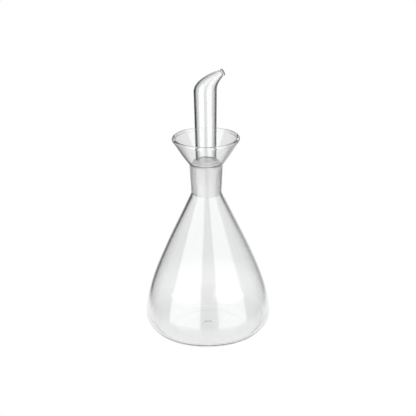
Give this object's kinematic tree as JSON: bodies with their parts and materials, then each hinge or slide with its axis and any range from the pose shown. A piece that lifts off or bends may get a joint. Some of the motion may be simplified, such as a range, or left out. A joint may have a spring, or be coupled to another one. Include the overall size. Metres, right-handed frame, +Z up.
{
  "type": "glass oil cruet with lift-out pourer",
  "caption": "Clear glass oil cruet: a conical flask with a drip-catching funnel on its frosted neck, and a bent hollow glass pourer that lifts out for filling.",
  "frame": {"origin": "centre of the ring that the flask stands on, in the plane of that ring", "axes": "+Z up the flask's axis, +X towards the mouth of the spout"},
  "size_m": [0.105, 0.105, 0.2299],
  "materials": {
    "clear_glass": "clear, flame polished",
    "ground_glass": "frosted on the ground faces of the joint"
  },
  "bodies": {
    "bottle": {"flask": "clear_glass", "neck_socket": "ground_glass", "drip_funnel": "clear_glass"},
    "pourer": {"ground_plug": "ground_glass", "spout_tube": "clear_glass"}
  },
  "joints": [
    {"name": "pourer_lift", "type": "slide", "parent": "bottle", "child": "pourer", "axis": [0, 0, 1], "range_m": [0, 0.055]}
  ]
}
